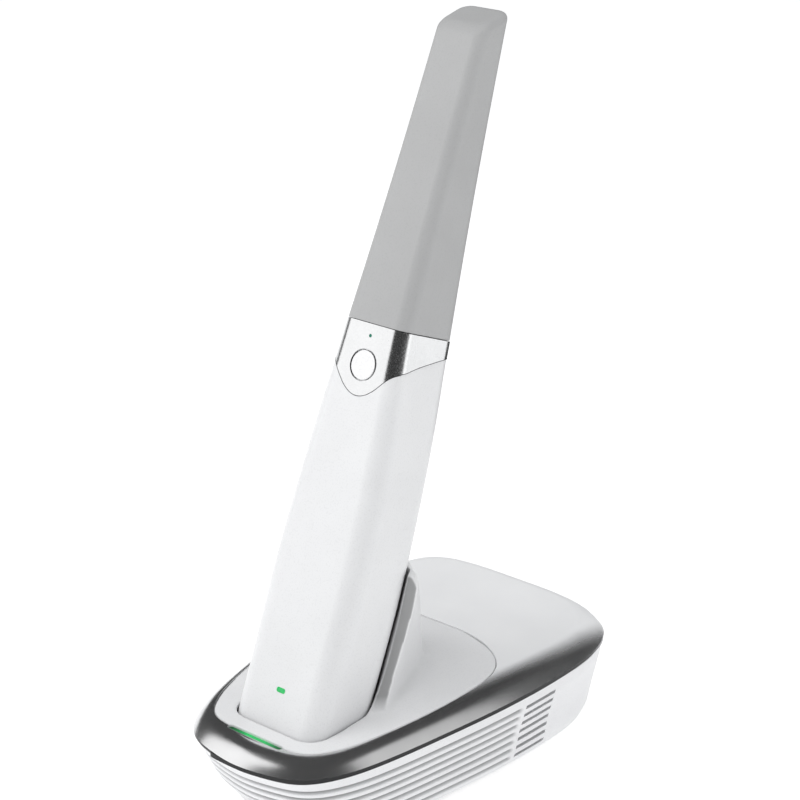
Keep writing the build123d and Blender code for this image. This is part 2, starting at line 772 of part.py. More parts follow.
# ---------------------------------------------------------------- handpiece: inside of the grip
def make_chassis():
    """Aluminium plate with folded sides that carries board and battery."""
    plate = hand_block(13.0, 7.6, 8.8, 20.0, 134.0)
    for side in (-1, 1):
        plate += Pos(side * 12.4, 12.3, 77.0) * Box(1.2, 7.2, 114.0)
    for z in (40, 77, 114):
        plate -= Pos(0, 8.2, z) * (Rot(90, 0, 0) * Cylinder(3.0, 4))
    return plate


def make_processor_board():
    board = hand_block(12.5, 4.9, 6.3, 30.0, 134.0)
    board += hand_block(6.5, 3.9, 4.9, 92.0, 105.0)
    board += hand_block(4.5, 3.7, 4.9, 66.0, 76.0)
    for index in range(4):
        board += hand_block(1.6, 4.1, 4.9, 112.0 + 5 * index, 114.6 + 5 * index)
    return board


def make_heat_spreader():
    return hand_block(9.0, 6.4, 7.5, 60.0, 124.0)


def make_battery():
    cell = Pos(0, 19.4, 57.0) * Cylinder(9.2, 65.0)
    tip = Pos(0, 19.4, 90.0) * Cylinder(2.8, 1.2)
    return cell + tip


def make_battery_holder():
    """Moulded cradle that ties the cell to the chassis."""
    tray = hand_block(11.6, 9.0, 29.6, 20.5, 23.8) + hand_block(11.6, 9.0, 29.6, 90.8, 94.0)
    tray += hand_block(6.0, 28.8, 30.4, 20.5, 94.0)
    return tray


def make_power_board():
    """Charging and light board just above the end cap."""
    board = hand_block(12.0, 3.0, 7.0, 17.0, 18.4)
    return board + hand_block(2.4, 2.6, 4.6, 22.0, 29.0) + hand_block(2.4, 3.6, 4.6, 18.4, 22.0)


def make_hand_antenna():
    return hand_block(7.5, 32.6, 33.1, 100.0, 126.0)


# ---------------------------------------------------------------- write every node
write(make_lower_casing(), "lower_casing")
write(make_seam_trim(), "seam_trim")
write(make_top_cover(), "top_cover")
write(make_cradle_insert(), "cradle_insert")
write(make_cradle_cup(), "cradle_cup")
write(make_pogo_block(), "pogo_block")
write(make_pogo_pins(), "pogo_pins")
write(make_light_bar(), "light_bar")
write(make_light_board(), "light_board")
write(make_base_plate(), "base_plate")
write(make_feet(), "rubber_feet")
write(make_base_screws(), "base_screws")
write(make_base_weight(), "base_weight")
write(make_dock_board(), "dock_board")
write(make_board_posts(), "board_posts")
write(make_radio_can(), "radio_can")
write(make_heat_sink(), "heat_sink")
write(make_dock_antennas(), "dock_antennas")
write(make_usb_inlet(), "usb_inlet")

write_hand(make_end_cap(), "end_cap")
write_hand(make_charge_contacts(), "charge_contacts")
write_hand(make_cap_screws(), "cap_screws")
write_hand(make_handle_shell(), "handle_shell")
write_hand(make_power_light(), "power_light")
write_hand(make_metal_band(), "metal_band")
write_hand(make_scan_button(), "scan_button")
write_hand(make_status_light(), "status_light")
write_hand(make_button_board(), "button_board")
write_hand(make_tip_sleeve(), "tip_sleeve")
write_hand(make_tip_mirror(), "tip_mirror")
write_hand(make_nose_tube(), "nose_tube")
write_hand(make_nose_window(), "nose_window")
write_hand(make_seal_ring(), "seal_ring")
write_hand(make_optics_block(), "optics_block")
write_hand(make_barrel(12.6, 3.5, 2.8, 168.0, 222.0), "projector_barrel")
write_hand(make_barrel(20.2, 2.5, 1.9, 168.0, 222.0), "camera_barrel")
write_hand(make_lens(12.6, 3.5, 222.8), "projector_lens")
write_hand(make_lens(20.2, 2.5, 222.8), "camera_lens")
write_hand(make_light_engine(), "light_engine")
write_hand(make_sensor_board(), "sensor_board")
write_hand(make_chassis(), "chassis")
write_hand(make_processor_board(), "processor_board")
write_hand(make_heat_spreader(), "heat_spreader")
write_hand(make_battery(), "battery")
write_hand(make_battery_holder(), "battery_holder")
write_hand(make_power_board(), "power_board")
write_hand(make_hand_antenna(), "hand_antenna")
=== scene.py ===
import json
import math

import bmesh
import bpy
import numpy as np
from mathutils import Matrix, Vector


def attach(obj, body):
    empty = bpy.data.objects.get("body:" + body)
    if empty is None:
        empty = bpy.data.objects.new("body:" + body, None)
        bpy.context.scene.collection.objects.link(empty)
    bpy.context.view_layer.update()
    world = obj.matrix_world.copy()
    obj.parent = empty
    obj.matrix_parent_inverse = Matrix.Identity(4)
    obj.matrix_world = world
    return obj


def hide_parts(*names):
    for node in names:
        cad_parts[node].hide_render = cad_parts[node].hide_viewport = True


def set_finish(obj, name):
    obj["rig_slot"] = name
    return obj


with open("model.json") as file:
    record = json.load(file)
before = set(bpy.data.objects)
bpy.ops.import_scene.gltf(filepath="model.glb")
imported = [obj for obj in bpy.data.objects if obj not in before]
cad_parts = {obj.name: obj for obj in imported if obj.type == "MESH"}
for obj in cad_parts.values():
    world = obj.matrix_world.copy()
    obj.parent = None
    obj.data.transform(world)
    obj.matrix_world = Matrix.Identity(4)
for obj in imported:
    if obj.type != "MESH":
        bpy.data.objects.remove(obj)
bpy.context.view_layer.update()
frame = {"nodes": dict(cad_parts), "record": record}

NODES = frame["nodes"]
MM = 0.001

# ---------------------------------------------------------------- sizes, in millimetres
LEAN = math.radians(22.9)
HAND_Y = -72.5
HAND_Z = 33.6

SEAM_Z = 38.2
COVER_RISE = 7.2
COVER_SHOULDER = 9.5
COVER_TILT = math.radians(1.0)
COVER_WALL = 2.0
SHOULDER_POWER = 2.2           # how steeply the cover rises from the seam
SEAM_TUCK = 0.25               # the cover's lowest ring stands this far inside the seam outline
HOLE_GAP = 0.1                 # between the insert's outline and the edge of the cover's hole
LIGHT_BAR_Y = -77.0
LIGHT_SLOT_HALF = (13.15, 1.3)
NOSE_Y = -70.0                 # the light bar lies in front of this

RIB_PITCH = 3.9
RIB_DEPTH = 1.4
RIB_TOP = 33.0
RIB_BOTTOM = 5.2
RIB_END_Y = 18.5
RIB_FADE = 1.0                 # a groove fades over this height at RIB_TOP and RIB_BOTTOM
RIB_END_FADE = 1.2             # and over this length in front of RIB_END_Y
CASING_TOP = 36.1
CASING_BOTTOM = 1.9
CASING_WALL = 2.0
VENT_TOP_Z = 31.0
VENT_COUNT = 7
VENT_HEIGHT = 1.7
VENT_Y = (20.4, 38.0)
VENT_ROUNDING = 0.35
VENT_CUT_X = (-70.0, 70.0)
INLET_Z = 13.0
INLET_HALF_SIZE = (4.8, 1.95)
INLET_CUT_Y = (62.0, 100.0)
INLET_ROUNDING = 1.9

TIP_START = 164.25
TIP_WALL = 1.5
TIP_END = (272.16, 0.706)      # height of the end face at y = 0, and its slope
TIP_ROUNDING = 3.4
TIP_MOUTH_WIDTH = 0.985        # the sleeve's first ring is drawn in to this share of its width
WINDOW_Z = 266.0
WINDOW_SIZE = (17.0, 17.5)
WINDOW_ROUNDING = 4.0
WINDOW_START_Y = 16.0          # inside the sleeve, so that only its rear face is cut

GASKET_RADIUS = 0.14
GASKET_SINK = 0.05
GASKET_COUNT = 320
GASKET_SIDES = 8
BAND_FACE_DEPTH = 3.2          # the band's front curve holds this far back from the button face

OUTLINE_COUNT = 720
FINE_COUNT = 4000              # points that an outline is drawn with before it is spaced evenly
HAND_COUNT = 30                # points along each rounded corner of the wand's sections

DOCK_HALF_OUTLINE = [
    (0.0, -89.0), (13.5, -87.2), (25.6, -82.6), (34.4, -71.6), (40.8, -53.0), (46.2, -26.0),
    (51.2, 5.0), (54.2, 42.0), (52.2, 68.0), (44.0, 82.5), (27.0, 88.2), (0.0, 89.0),
]
INSERT_HALF_OUTLINE = [
    (0.0, -77.4), (12.0, -76.8), (20.9, -75.2), (28.3, -67.8), (34.9, -49.9), (38.9, -29.5),
    (41.6, -3.0), (38.6, 17.5), (27.8, 27.5), (12.0, 32.2), (0.0, 32.6),
]
# Height, then how far inside the seam outline: at the sides, the front and the rear.
CASING_STATIONS = [
    (CASING_TOP, 0.6, 0.8, 0.8),
    (31.0, 1.3, 3.6, 0.9),
    (19.0, 4.4, 9.2, 1.3),
    (8.0, 6.2, 18.0, 3.4),
    (4.2, 7.6, 20.2, 5.0),
    (CASING_BOTTOM, 10.6, 23.4, 8.0),
]
BASE_MOUTH = (13.1, 25.9, 10.5)
BASE_MOUTH_TOP = 3.9
# Lower edge of the band: heights on the front by x, then round the side by y.
BAND_FRONT = [(0.0, 137.3), (4.5, 138.6), (8.4, 141.8), (12.6, 146.4), (18.0, 150.6)]
BAND_SIDE = [(-3.0, 147.2), (2.6, 148.8), (11.4, 152.2), (19.8, 154.9), (27.8, 157.2), (40.0, 158.2)]
# Height, half width, front y, back y, front corner radius, back corner radius.
HANDLE_STATIONS = [
    (110.0, 19.3, 0.0, 35.5, 7.3, 9.4),
    (130.0, 17.9, 0.0, 35.0, 6.8, 9.0),
    (146.0, 16.3, 0.0, 34.5, 6.2, 8.5),
    (164.0, 14.9, 0.0, 33.9, 5.6, 8.0),
]
TIP_STATIONS = [
    (164.0, 14.7, 0.0, 33.8, 5.5, 8.0),
    (200.0, 13.2, 1.9, 30.1, 5.1, 7.1),
    (240.0, 12.1, 4.0, 25.9, 4.7, 6.1),
    (287.0, 11.3, 6.2, 21.2, 4.3, 5.0),
]


# ---------------------------------------------------------------- curves
def cubic(knots, values, at, start_slope=None, end_slope=None):
    """Cubic spline through values at knots; natural where no end slope is given."""
    knots = np.asarray(knots, float)
    values = np.asarray(values, float)
    count = len(knots)
    gaps = np.diff(knots)
    matrix = np.zeros((count, count))
    right = np.zeros((count,) + values.shape[1:])
    for i in range(1, count - 1):
        matrix[i, i - 1] = gaps[i - 1]
        matrix[i, i] = 2 * (gaps[i - 1] + gaps[i])
        matrix[i, i + 1] = gaps[i]
        rise = (values[i + 1] - values[i]) / gaps[i] - (values[i] - values[i - 1]) / gaps[i - 1]
        right[i] = 6 * rise
    matrix[0, 0] = matrix[-1, -1] = 1.0
    if start_slope is not None:
        matrix[0, :2] = (2 * gaps[0], gaps[0])
        right[0] = 6 * ((values[1] - values[0]) / gaps[0] - np.asarray(start_slope, float))
    if end_slope is not None:
        matrix[-1, -2:] = (gaps[-1], 2 * gaps[-1])
        right[-1] = 6 * (np.asarray(end_slope, float) - (values[-1] - values[-2]) / gaps[-1])
    bend = np.linalg.solve(matrix, right)
    at = np.asarray(at, float)
    i = np.clip(np.searchsorted(knots, at, side="right") - 1, 0, count - 2)
    gap = gaps[i]
    a = (knots[i + 1] - at) / gap
    b = (at - knots[i]) / gap
    if values.ndim > 1:
        gap, a, b = gap[..., None], a[..., None], b[..., None]
    straight = a * values[i] + b * values[i + 1]
    return straight + ((a**3 - a) * bend[i] + (b**3 - b) * bend[i + 1]) * gap**2 / 6


def arc_lengths(points):
    """Length along a line of points up to each of them."""
    return np.concatenate([[0], np.cumsum(np.linalg.norm(np.diff(points, axis=0), axis=1))])


def along_line(points, lengths):
    """The points at the given lengths along a line of points."""
    own = arc_lengths(points)
    return np.stack([np.interp(lengths, own, points[:, k]) for k in (0, 1)], axis=1)


def closed_outline(half_points):
    """A symmetric outline as evenly spaced points, from the front centre round by the right."""
    points = np.array(half_points, float)
    chord = arc_lengths(points)
    fine = cubic(chord, points, np.linspace(0, chord[-1], FINE_COUNT), (1, 0), (-1, 0))
    right = along_line(fine, np.linspace(0, arc_lengths(fine)[-1], OUTLINE_COUNT // 2 + 1))
    left = right[-2:0:-1] * (-1, 1)
    return np.concatenate([right, left])


DOCK_LOOP = closed_outline(DOCK_HALF_OUTLINE)
INSERT_LOOP = closed_outline(INSERT_HALF_OUTLINE)
DOCK_HALF_WIDTH = DOCK_LOOP[:, 0].max()
DOCK_HALF_LENGTH = 89.0
INSET_SEARCH = (-2.0, 50.0)
INSET_HALVINGS = 40


def drawn_in(loop, inset):
    """The loop scaled about its centre, so that its widest and longest points move in by inset."""
    middle = (loop[:, 1].min() + loop[:, 1].max()) / 2
    half_length = (loop[:, 1].max() - loop[:, 1].min()) / 2
    half_width = loop[:, 0].max()
    inset = np.asarray(inset, float)
    x = loop[:, 0] * (1 - inset / half_width)
    y = middle + (loop[:, 1] - middle) * (1 - inset / half_length)
    return np.stack([x, y], axis=1)


def inset_of(points):
    """How far inside the dock's seam outline each point lies, measured as drawn_in draws it."""
    angles = np.unwrap(np.arctan2(DOCK_LOOP[:, 1], DOCK_LOOP[:, 0]))
    radii = np.linalg.norm(DOCK_LOOP, axis=1)
    low = np.full(len(points), INSET_SEARCH[0])
    high = np.full(len(points), INSET_SEARCH[1])
    for _ in range(INSET_HALVINGS):
        guess = (low + high) / 2
        x = points[:, 0] / (1 - guess / DOCK_HALF_WIDTH)
        y = points[:, 1] / (1 - guess / DOCK_HALF_LENGTH)
        angle = np.arctan2(y, x)
        angle = np.where(angle < angles[0], angle + 2 * math.pi, angle)
        reach = np.interp(angle, angles, radii, period=2 * math.pi)
        outside = np.hypot(x, y) > reach
        high = np.where(outside, guess, high)
        low = np.where(outside, low, guess)
    return (low + high) / 2


def cover_height(points, inset=None):
    """Height of the cover's outer face over each point."""
    share = np.clip((inset_of(points) if inset is None else inset) / COVER_SHOULDER, 0, 1)
    rise = COVER_RISE * (1 - (1 - share) ** SHOULDER_POWER)
    return SEAM_Z + rise + points[:, 1] * math.sin(COVER_TILT) * share


def to_row(points):
    """Points of the wand's own frame, leant back into the dock."""
    points = np.asarray(points, float)
    c, s = math.cos(LEAN), math.sin(LEAN)
    y = HAND_Y + points[..., 1] * c + points[..., 2] * s
    z = HAND_Z - points[..., 1] * s + points[..., 2] * c
    return np.stack([points[..., 0], y, z], axis=-1)


# ---------------------------------------------------------------- meshes
def make_object(name, vertices, faces):
    """An object from vertices in millimetres, its faces turned outwards."""
    mesh = bpy.data.meshes.new(name)
    mesh.from_pydata((np.asarray(vertices) * MM).tolist(), [], faces)
    mesh.validate()
    made = bmesh.new()
    made.from_mesh(mesh)
    bmesh.ops.recalc_face_normals(made, faces=made.faces)
    made.to_mesh(mesh)
    made.free()
    obj = bpy.data.objects.new(name, mesh)
    bpy.context.scene.collection.objects.link(obj)
    return obj


def ring_faces(ring_count, size, closed=False):
    """Quads between neighbouring rings of size points; closed joins the last ring to the first."""
    faces = []
    for r in range(ring_count if closed else ring_count - 1):
        low, high = r * size, (r + 1) % ring_count * size
        for i in range(size):
            j = (i + 1) % size
            faces.append((low + i, low + j, high + j, high + i))
    return faces


def smooth(obj, angle):
    """Shades a piece smooth, apart from edges that turn by more than angle degrees."""
    obj.data.shade_smooth()
    obj.data.set_sharp_from_angle(angle=math.radians(angle))


def applied(obj, kind, **settings):
    """Adds one modifier and applies it."""
    modifier = obj.modifiers.new(kind.lower(), kind)
    for key, value in settings.items():
        setattr(modifier, key, value)
    depsgraph = bpy.context.evaluated_depsgraph_get()
    mesh = bpy.data.meshes.new_from_object(obj.evaluated_get(depsgraph))
    obj.modifiers.clear()
    old = obj.data
    obj.data = mesh
    bpy.data.meshes.remove(old)


def cut_away(obj, cutter):
    """Cuts one mesh out of another and deletes the cutter."""
    applied(obj, "BOOLEAN", object=cutter, operation="DIFFERENCE", solver="EXACT")
    mesh = cutter.data
    bpy.data.objects.remove(cutter)
    bpy.data.meshes.remove(mesh)


CORNER_STEPS = 6


def rounded_prism(centre, half_u, half_v, radius, axes, depth):
    """Vertices and faces of a bar with rounded corners, which runs along axes[2]."""
    points = []
    for cu, cv, start in ((1, 1, 0), (-1, 1, 90), (-1, -1, 180), (1, -1, 270)):
        for step in range(CORNER_STEPS + 1):
            turn = math.radians(start + 90 / CORNER_STEPS * step)
            u = cu * (half_u - radius) + radius * math.cos(turn)
            v = cv * (half_v - radius) + radius * math.sin(turn)
            points.append((u, v))
    u_axis, v_axis, w_axis = (np.array(a, float) for a in axes)
    rings = [[np.array(centre) + u * u_axis + v * v_axis + w * w_axis for u, v in points] for w in depth]
    size = len(points)
    faces = ring_faces(2, size) + [tuple(range(size))[::-1], tuple(range(size, 2 * size))]
    return np.concatenate(rings), faces


# ---------------------------------------------------------------- dock: cover
OUTER_SHARES = (0.004, 0.02, 0.05, 0.09, 0.14, 0.2, 0.27, 0.34, 0.42)   # of the shoulder's width
NEAR_RINGS = 12            # rings over the inner part of the shoulder, then over the flat top
NEAR_START = 0.5           # share of the shoulder where they start
NEAR_END = 1.05            # and where they end
NEAR_LIMIT = 0.75          # share of the room they may take up where the insert stands close
FLAT_RINGS = 16
EDGE_STEP = 0.35           # the last ring on top stands this far outside the hole
# The rounded edge and the wall of the hole: how far outside it, and how far down.
EDGE_RINGS = ((-0.12, 0.05), (-0.02, 0.18), (0.0, 0.4), (0.0, COVER_WALL))
UNDER_SHARES = (0.5, 0.3, 0.15, 0.05)
UNDER_STEPS = (0.05, 0.3, 0.6)


def along_rays(loop, rays):
    """Where the lines from the middle of the dock through the given points cross the loop."""
    angles = np.unwrap(np.arctan2(loop[:, 1], loop[:, 0]))
    turn = np.arctan2(rays[:, 1], rays[:, 0])
    reach = np.interp(turn, angles, np.linalg.norm(loop, axis=1), period=2 * math.pi)
    return np.column_stack([reach * np.cos(turn), reach * np.sin(turn)])


def round_light_bar(loop):
    """The loop moved forward where it would cross the light bar's slot."""
    half_x, half_y = LIGHT_SLOT_HALF
    loop = loop.copy()
    near = (loop[:, 1] < NOSE_Y) & (np.abs(loop[:, 0]) < half_x)
    end = np.clip((np.abs(loop[near, 0]) - (half_x - half_y)) / half_y, 0, 1)
    loop[near, 1] = np.minimum(loop[near, 1], LIGHT_BAR_Y - half_y * np.sqrt(1 - end**2))
    return loop


def make_cover():
    """Domed cover: a thin closed shell from the seam up and over to the edge of the insert."""
    start = COVER_SHOULDER * NEAR_START
    hole = round_light_bar(along_rays(drawn_in(INSERT_LOOP, -HOLE_GAP), drawn_in(DOCK_LOOP, start)))
    edge = drawn_in(hole, -EDGE_STEP)
    top = [drawn_in(DOCK_LOOP, COVER_SHOULDER * share) for share in OUTER_SHARES]
    reach = np.minimum(COVER_SHOULDER * NEAR_END, start + (inset_of(edge) - start) * NEAR_LIMIT)
    top += [drawn_in(DOCK_LOOP, start + (reach - start) * t) for t in np.linspace(0, 1, NEAR_RINGS + 1)]
    last = top[-1]
    top += [last + (edge - last) * t for t in np.linspace(0, 1, FLAT_RINGS + 1)[1:]]
    under = [drawn_in(DOCK_LOOP, COVER_WALL + COVER_SHOULDER * share) for share in UNDER_SHARES]
    rings = []

    def add(loop, z):
        rings.append(np.column_stack([loop, z]))

    add(drawn_in(DOCK_LOOP, SEAM_TUCK), np.full(OUTLINE_COUNT, SEAM_Z))
    for loop in top:
        add(loop, cover_height(loop))
    for step, drop in EDGE_RINGS:
        loop = drawn_in(hole, step)
        add(loop, cover_height(loop) - drop)
    for loop in [edge + (under[0] - edge) * t for t in UNDER_STEPS] + under:
        inset = np.maximum(inset_of(loop) - COVER_WALL, 0)
        add(loop, cover_height(loop, inset) - COVER_WALL)
    add(drawn_in(DOCK_LOOP, COVER_WALL), np.full(OUTLINE_COUNT, SEAM_Z))
    cover = make_object("top_cover_skin", np.concatenate(rings), ring_faces(len(rings), OUTLINE_COUNT, True))
    smooth(cover, 50)
    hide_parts("top_cover")
    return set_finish(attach(cover, "dock"), "cover_chrome")


# ---------------------------------------------------------------- dock: lower casing
def tucked_outline(side, front, rear, z, groove=0.0):
    """The dock's outline drawn in by its own amount at the sides, the front and the rear."""
    along = 1 - (front + rear) / (2 * DOCK_HALF_LENGTH)
    x = DOCK_LOOP[:, 0] * (1 - (side + groove) / DOCK_HALF_WIDTH)
    y = (DOCK_LOOP[:, 1] * (1 - groove / DOCK_HALF_LENGTH) + DOCK_HALF_LENGTH) * along
    return np.column_stack([x, y + front - DOCK_HALF_LENGTH, np.full(OUTLINE_COUNT, z)])


def casing_loop(z, grow=0.0, groove=0.0):
    """The casing's outline at height z; grow draws it further in, groove sinks single points."""
    rows = np.array(CASING_STATIONS)[::-1]
    side, front, rear = (float(np.interp(z, rows[:, 0], rows[:, k])) + grow for k in (1, 2, 3))
    return tucked_outline(side, front, rear, z, groove)


def rib_pattern(z, y):
    """How deep the grooves are at height z, and how fully they run at y, both from 0 to 1."""
    groove = (0.5 + 0.5 * np.cos(2 * math.pi * (z - VENT_TOP_Z) / RIB_PITCH)) ** 3
    inside = np.clip((RIB_TOP - z) / RIB_FADE, 0, 1) * np.clip((z - RIB_BOTTOM) / RIB_FADE, 0, 1)
    return groove * inside, np.clip((RIB_END_Y - y) / RIB_END_FADE, 0, 1)


def rib_depth(z):
    """Depth of the ribbing's grooves, all round the nose and sides and ending at the vents."""
    groove, run = rib_pattern(z, casing_loop(z)[:, 1])
    return RIB_DEPTH * groove * run * run * (3 - 2 * run)


def store(obj, name, values):
    """Keeps one number for each vertex, for the materials to read."""
    attribute = obj.data.attributes.new(name, "FLOAT", "POINT")
    attribute.data.foreach_set("value", np.asarray(values, float))


def vertices_of(obj):
    """A piece's vertices, in millimetres."""
    points = np.zeros(len(obj.data.vertices) * 3)
    obj.data.vertices.foreach_get("co", points)
    return points.reshape(-1, 3) / MM


def paint_groove_shade(casing):
    """Stores painted shade for the ribbing's grooves: how deep each vertex of the casing lies in a groove,
    from 0 to 1.
    """
    points = vertices_of(casing)
    groove, run = rib_pattern(points[:, 2], points[:, 1])
    store(casing, "shade", groove * run)


# Heights of the casing's rings: the smooth top, the ribbing and the foot, then the inside.
CASING_HEIGHTS = np.concatenate([
    np.linspace(CASING_TOP, 33.2, 6), np.arange(33.0, 5.0, -0.3), np.linspace(4.8, CASING_BOTTOM, 10),
])
INNER_HEIGHTS = (5.5, 8.0, 14.0, 20.0, 26.0, 31.0, CASING_TOP)
INNER_FOOT = 6.0
INNER_STEP = 1.5               # rings below INNER_FOOT stand this much further in


def casing_cutter():
    """The vent slots through both sides and the inlet's opening at the rear, as one mesh."""
    middle = (VENT_Y[0] + VENT_Y[1]) / 2
    half = (VENT_Y[1] - VENT_Y[0]) / 2
    across = ((0, 1, 0), (0, 0, 1), (1, 0, 0))
    bars = []
    for index in range(VENT_COUNT):
        centre = (0, middle, VENT_TOP_Z - RIB_PITCH * index)
        bars.append(rounded_prism(centre, half, VENT_HEIGHT / 2, VENT_ROUNDING, across, VENT_CUT_X))
    lengthwise = ((1, 0, 0), (0, 0, 1), (0, 1, 0))
    bars.append(rounded_prism((0, 0, INLET_Z), *INLET_HALF_SIZE, INLET_ROUNDING, lengthwise, INLET_CUT_Y))
    vertices, faces, start = [], [], 0
    for points, quads in bars:
        vertices.append(points)
        faces += [tuple(i + start for i in face) for face in quads]
        start += len(points)
    return make_object("casing_cutter", np.concatenate(vertices), faces)


def make_casing():
    """The ribbed tub, with a wall, an open foot for the base plate, vents and the inlet's opening."""
    rings = [casing_loop(z, 0.0, rib_depth(z)) for z in CASING_HEIGHTS]
    rings += [tucked_outline(*BASE_MOUTH, z) for z in (CASING_BOTTOM, BASE_MOUTH_TOP)]
    rings += [casing_loop(z, CASING_WALL + (INNER_STEP if z < INNER_FOOT else 0.0)) for z in INNER_HEIGHTS]
    faces = ring_faces(len(rings), OUTLINE_COUNT, True)
    casing = make_object("lower_casing_skin", np.concatenate(rings), faces)
    cut_away(casing, casing_cutter())
    smooth(casing, 40)
    # painted shade in the grooves of the ribbing, for the casing's material to read
    paint_groove_shade(casing)
    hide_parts("lower_casing")
    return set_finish(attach(casing, "dock"), "casing_white")


# ---------------------------------------------------------------- dock: cradle insert
INSERT_VOXEL = 0.5
SOFTENING = 0.5                # share of the way to its neighbours' middle that a vertex moves each round
# The hood's slanting front edge gets painted shade where its vertices face this way.
LIP_FACING = (0.6, 0.8)        # sideways and forward parts of the hood edge's outward direction
LIP_MATCH = (0.74, 0.92)       # how well a vertex has to face that way to get painted shade, none to fully
LIP_START_Z = 45.0
LIP_RISE = 5.0
HOOD_SOFTENING = 26
HOOD_START = (43.6, -60.0)     # the softening sets in above this height and behind this y
HOOD_FADE = (1.2, 8.0)
EDGE_SOFTENING = 3
EDGE_KEPT = (1.5, 2.0)         # no softening this near the insert's edge, then a fade this wide


def soften(obj, rounds, weight):
    """Laplacian smoothing of a mesh, its strength given for each vertex."""
    mesh = obj.data
    points = np.zeros(len(mesh.vertices) * 3)
    mesh.vertices.foreach_get("co", points)
    points = points.reshape(-1, 3)
    edges = np.zeros(len(mesh.edges) * 2, int)
    mesh.edges.foreach_get("vertices", edges)
    edges = edges.reshape(-1, 2)
    valence = np.bincount(edges.ravel(), minlength=len(points))[:, None]
    strength = weight(points)[:, None]
    for _ in range(rounds):
        total = np.zeros_like(points)
        for a, b in ((0, 1), (1, 0)):
            for k in range(3):
                total[:, k] += np.bincount(edges[:, a], points[edges[:, b], k], len(points))
        points += strength * (total / valence - points)
    mesh.vertices.foreach_set("co", points.ravel())
    mesh.update()


def make_insert():
    """The cradle insert with its hood, its CAD faces turned into one soft moulded form."""
    insert = NODES["cradle_insert"].copy()
    insert.data = NODES["cradle_insert"].data.copy()
    insert.name = insert.data.name = "cradle_insert_skin"
    insert.parent = None
    for key in list(insert.keys()):
        del insert[key]
    bpy.context.scene.collection.objects.link(insert)
    applied(insert, "REMESH", mode="VOXEL", voxel_size=INSERT_VOXEL * MM)
    soften(insert, EDGE_SOFTENING, lambda p: np.full(len(p), SOFTENING))

    def hood_weight(points):
        above = (points[:, 2] / MM - HOOD_START[0]) / HOOD_FADE[0]
        behind = (points[:, 1] / MM - HOOD_START[1]) / HOOD_FADE[1]
        within = (inset_in_insert(points / MM) - EDGE_KEPT[0]) / EDGE_KEPT[1]
        return SOFTENING * np.clip(above, 0, 1) * np.clip(behind, 0, 1) * np.clip(within, 0, 1)

    soften(insert, HOOD_SOFTENING, hood_weight)
    smooth(insert, 60)
    # painted shade on the hood's slanting front edge
    paint_lip_shade(insert)
    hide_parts("cradle_insert")
    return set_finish(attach(insert, "dock"), "insert_white")


def paint_lip_shade(insert):
    """Stores painted shade for the slanting front edge of the hood, by how far each vertex faces sideways and
    forwards.
    """
    points = vertices_of(insert)
    normals = np.zeros(len(points) * 3)
    insert.data.vertex_normals.foreach_get("vector", normals)
    normals = normals.reshape(-1, 3)
    c, s = math.cos(LEAN), math.sin(LEAN)
    forward = -normals[:, 1] * c + normals[:, 2] * s
    facing = np.abs(normals[:, 0]) * LIP_FACING[0] + forward * LIP_FACING[1]
    match = (facing - LIP_MATCH[0]) / (LIP_MATCH[1] - LIP_MATCH[0])
    rise = np.clip((points[:, 2] - LIP_START_Z) / LIP_RISE, 0, 1)
    store(insert, "shade", np.clip(match, 0, 1) * rise)


def inset_in_insert(points):
    """Rough distance inside the insert's outline, in millimetres."""
    middle = (INSERT_LOOP[:, 1].min() + INSERT_LOOP[:, 1].max()) / 2
    angle = np.unwrap(np.arctan2(INSERT_LOOP[:, 1] - middle, INSERT_LOOP[:, 0]))
    radius = np.hypot(INSERT_LOOP[:, 0], INSERT_LOOP[:, 1] - middle)
    turn = np.arctan2(points[:, 1] - middle, points[:, 0])
    reach = np.interp(turn, angle, radius, period=2 * math.pi)
    return reach - np.hypot(points[:, 0], points[:, 1] - middle)


# ---------------------------------------------------------------- wand: tip sleeve
def section_points(values):
    """Rounded section of the wand; values is one row, or one row for each point."""
    count = 4 * HAND_COUNT
    half, front, back, front_radius, back_radius = np.broadcast_to(values, (count, 5)).T
    side = np.repeat([1, 1, -1, -1], HAND_COUNT)
    at_back = np.repeat([False, True, True, False], HAND_COUNT)
    quarter = 90 * np.arange(HAND_COUNT) / (HAND_COUNT - 1)
    turn = np.radians(np.repeat([270, 0, 90, 180], HAND_COUNT) + np.tile(quarter, 4))
    radius = np.where(at_back, back_radius, front_radius)
    middle_y = np.where(at_back, back - radius, front + radius)
    return np.column_stack([side * (half - radius) + radius * np.cos(turn), middle_y + radius * np.sin(turn)])


def tip_values(z):
    """The tip's section measures at each height z."""
    rows = np.array(TIP_STATIONS)
    return cubic(rows[:, 0], rows[:, 1:], z)


TIP_SHARES = np.concatenate([[0.0, 0.002, 0.006], np.linspace(0.02, 1, 46)])
ROUNDING_STEPS = 12
END_HALF = 8.0                 # half the end face's depth, which the rounding is measured against
END_SCALES = (0.8, 0.6, 0.4, 0.2, 0.07)
END_GUESS = 10.0               # the last ring's height is first taken this far past the end's
SETTLING_ROUNDS = 4            # rounds until each ring's height fits its own outline


def tip_ring(share, scale=1.0, drop=TIP_ROUNDING):
    """One ring of the sleeve: its share of the length, its size, and its depth below the end face."""
    z = np.full(4 * HAND_COUNT, TIP_START + share * (TIP_END[0] + END_GUESS - TIP_START))
    for _ in range(SETTLING_ROUNDS):
        loop = section_points(tip_values(z))
        top = TIP_END[0] + TIP_END[1] * loop[:, 1] - drop
        z = TIP_START + share * (top - TIP_START)
    centre = np.array([0.0, (loop[:, 1].min() + loop[:, 1].max()) / 2])
    half = np.array([loop[:, 0].max(), (loop[:, 1].max() - loop[:, 1].min()) / 2])
    shrunk = centre + (loop - centre) * (1 - (1 - scale) * half.min() / half)
    top = TIP_END[0] + TIP_END[1] * shrunk[:, 1] - drop
    return np.column_stack([shrunk, np.where(share < 1, z, top)])


